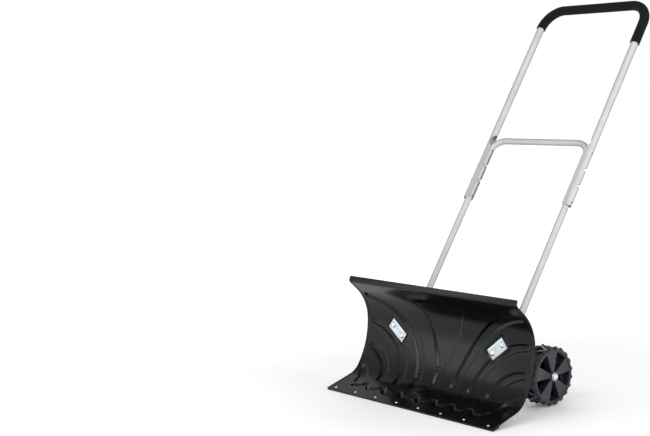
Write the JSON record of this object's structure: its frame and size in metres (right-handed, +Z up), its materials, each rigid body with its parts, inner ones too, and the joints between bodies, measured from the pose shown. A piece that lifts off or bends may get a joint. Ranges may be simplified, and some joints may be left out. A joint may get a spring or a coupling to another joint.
{
  "type": "wheeled snow shovel",
  "caption": "Snow pusher with a wide curved plastic blade on a swivelling yoke, two wheels behind it and a leaning two-part tube handle with a foam grip.",
  "frame": {"origin": "on the ground, at the middle of the footprint: halfway between the blade's ends, and halfway between the scraping edge and the back of the grip", "axes": "+X to the right seen from the front of the blade, +Y from the blade towards the user, +Z up"},
  "size_m": [0.74, 0.953, 1.2734],
  "materials": {
    "blade_plastic": "satin",
    "zinc_steel": "satin",
    "rivet_aluminium": "satin",
    "frame_paint": "satin",
    "handle_tube": "satin",
    "bush_nylon": "satin",
    "knob_plastic": "matte",
    "cap_steel": "gloss",
    "wheel_plastic": "satin",
    "grip_foam": "matte"
  },
  "bodies": {
    "chassis": {"swivel_bracket": "frame_paint", "kingpin": "zinc_steel", "kingpin_nut": "zinc_steel", "kingpin_washers": "zinc_steel", "axle_tube": "frame_paint", "axle_rod": "zinc_steel", "axle_washers": "zinc_steel", "left_axle_cap": "cap_steel", "right_axle_cap": "cap_steel", "lower_handle": "handle_tube", "upper_handle": "handle_tube", "foam_grip": "grip_foam", "handle_bolts": "zinc_steel", "handle_nuts": "zinc_steel"},
    "blade": {"blade_shell": "blade_plastic", "wear_strip": "zinc_steel", "wear_strip_rivets": "rivet_aluminium", "left_clamp_plate": "zinc_steel", "right_clamp_plate": "zinc_steel", "clamp_carriage_bolts": "zinc_steel", "clamp_washers": "zinc_steel", "clamp_nuts": "zinc_steel", "yoke_plate": "zinc_steel", "yoke_hub": "frame_paint", "hub_bushes": "bush_nylon", "lock_bolt": "zinc_steel", "lock_washer": "zinc_steel"},
    "lock_knob": {"lock_knob": "knob_plastic"},
    "left_wheel": {"left_wheel": "wheel_plastic"},
    "right_wheel": {"right_wheel": "wheel_plastic"}
  },
  "joints": [
    {"name": "blade_swivel", "type": "hinge", "parent": "chassis", "child": "blade", "pos_m": [0, -0.20912, 0.094], "axis": [0, 0, 1], "range_deg": [-20, 20]},
    {"name": "lock_knob_turn", "type": "hinge", "parent": "blade", "child": "lock_knob", "pos_m": [0, -0.25512, 0.137], "axis": [0, 0, 1], "range_deg": [-180, 180]},
    {"name": "left_wheel_spin", "type": "hinge", "parent": "chassis", "child": "left_wheel", "pos_m": [-0.2615, -0.11452, 0.094], "axis": [1, 0, 0], "continuous": true},
    {"name": "right_wheel_spin", "type": "hinge", "parent": "chassis", "child": "right_wheel", "pos_m": [0.2615, -0.11452, 0.094], "axis": [1, 0, 0], "continuous": true}
  ]
}
